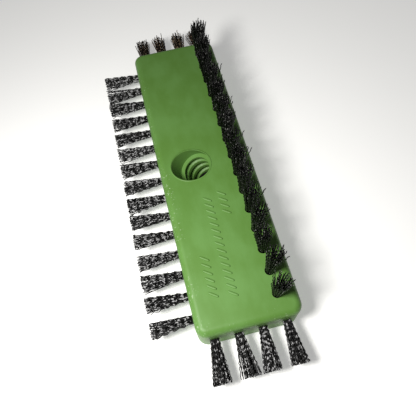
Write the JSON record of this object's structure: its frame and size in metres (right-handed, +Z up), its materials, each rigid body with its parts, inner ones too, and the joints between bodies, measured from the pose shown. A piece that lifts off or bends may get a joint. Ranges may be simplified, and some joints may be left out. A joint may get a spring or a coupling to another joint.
{
  "type": "cleaning brush head",
  "caption": "Pole-mounted scrubbing brush head: long rectangular block with a slanted threaded socket and stiff filament tufts on one side, on both ends and upright on the top edge.",
  "frame": {"origin": "in the plane of the block's underside, below the middle of the whole brush with its tufts", "axes": "+X across the block, from the side row of tufts towards the upright row; +Y along the block; +Z up, out of the top face that the upright tufts and the socket's mouth are on"},
  "size_m": [0.0812, 0.2504, 0.0504],
  "materials": {
    "block_plastic": "moulded green polypropylene, satin sheen",
    "filament": "crimped black filament"
  },
  "bodies": {
    "root": {"block": "block_plastic", "side_tuft_01": "filament", "side_tuft_02": "filament", "side_tuft_03": "filament", "side_tuft_04": "filament", "side_tuft_05": "filament", "side_tuft_06": "filament", "side_tuft_07": "filament", "side_tuft_08": "filament", "side_tuft_09": "filament", "side_tuft_10": "filament", "side_tuft_11": "filament", "side_tuft_12": "filament", "side_tuft_13": "filament", "side_tuft_14": "filament", "side_tuft_15": "filament", "top_tuft_01": "filament", "top_tuft_02": "filament", "top_tuft_03": "filament", "top_tuft_04": "filament", "top_tuft_05": "filament", "top_tuft_06": "filament", "top_tuft_07": "filament", "top_tuft_08": "filament", "top_tuft_09": "filament", "top_tuft_10": "filament", "top_tuft_11": "filament", "top_tuft_12": "filament", "top_tuft_13": "filament", "top_tuft_14": "filament", "top_tuft_15": "filament", "near_tuft_01": "filament", "near_tuft_02": "filament", "near_tuft_03": "filament", "near_tuft_04": "filament", "far_tuft_01": "filament", "far_tuft_02": "filament", "far_tuft_03": "filament", "far_tuft_04": "filament"}
  },
  "joints": []
}
